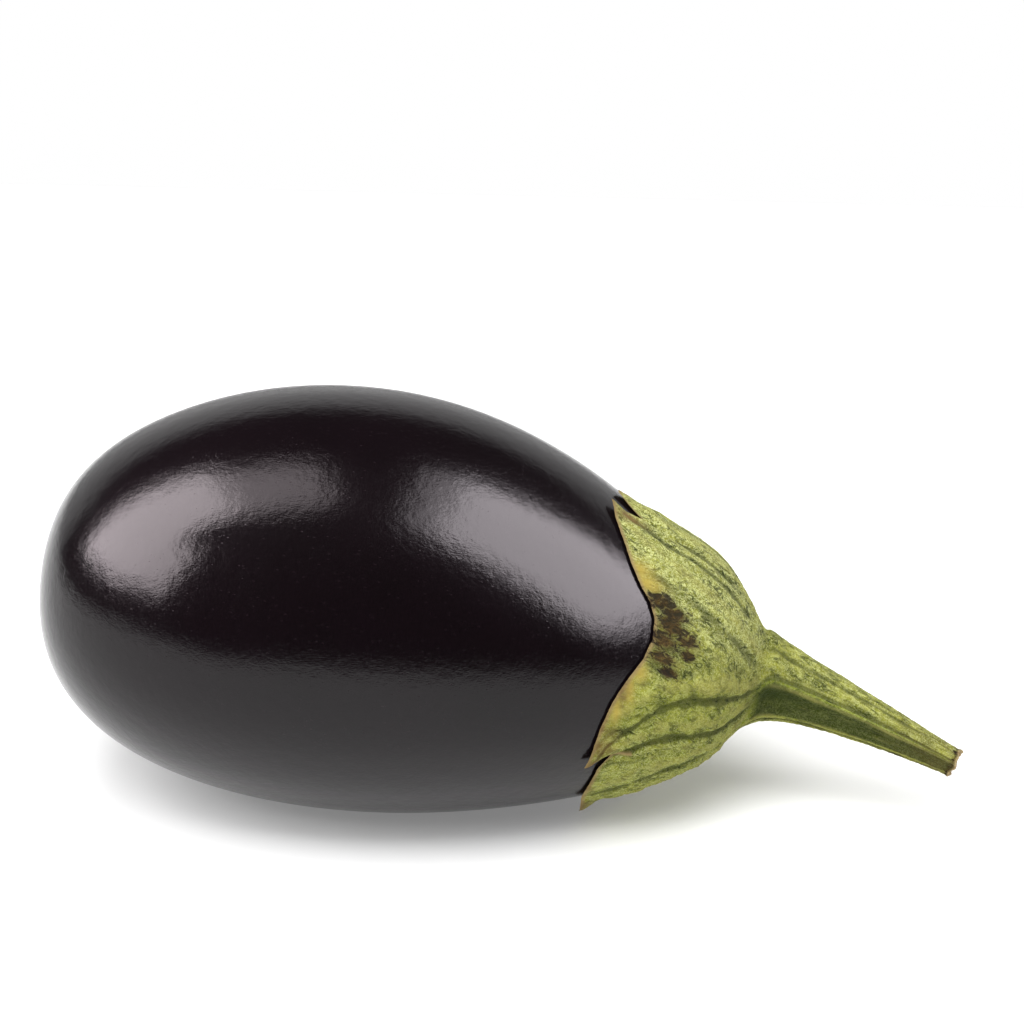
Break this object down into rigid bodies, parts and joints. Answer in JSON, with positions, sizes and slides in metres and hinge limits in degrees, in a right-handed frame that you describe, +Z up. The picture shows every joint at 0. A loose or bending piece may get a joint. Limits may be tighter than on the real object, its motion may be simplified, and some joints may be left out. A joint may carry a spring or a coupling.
{
  "type": "eggplant",
  "caption": "Whole dark glossy oval eggplant lying on its side, with a green calyx of fused pointed sepals and a short cut stem.",
  "frame": {"origin": "middle of the small flat spot that the fruit rests on", "axes": "+X along the fruit's length towards the cut stem, +Z up, away from the surface it lies on"},
  "size_m": [0.2181, 0.1, 0.1],
  "materials": {
    "aubergine_skin": "gloss",
    "sepal_green": "matte",
    "stem_green": "matte"
  },
  "bodies": {
    "root": {"fruit": "aubergine_skin", "calyx": "sepal_green", "stem": "stem_green"}
  },
  "joints": []
}
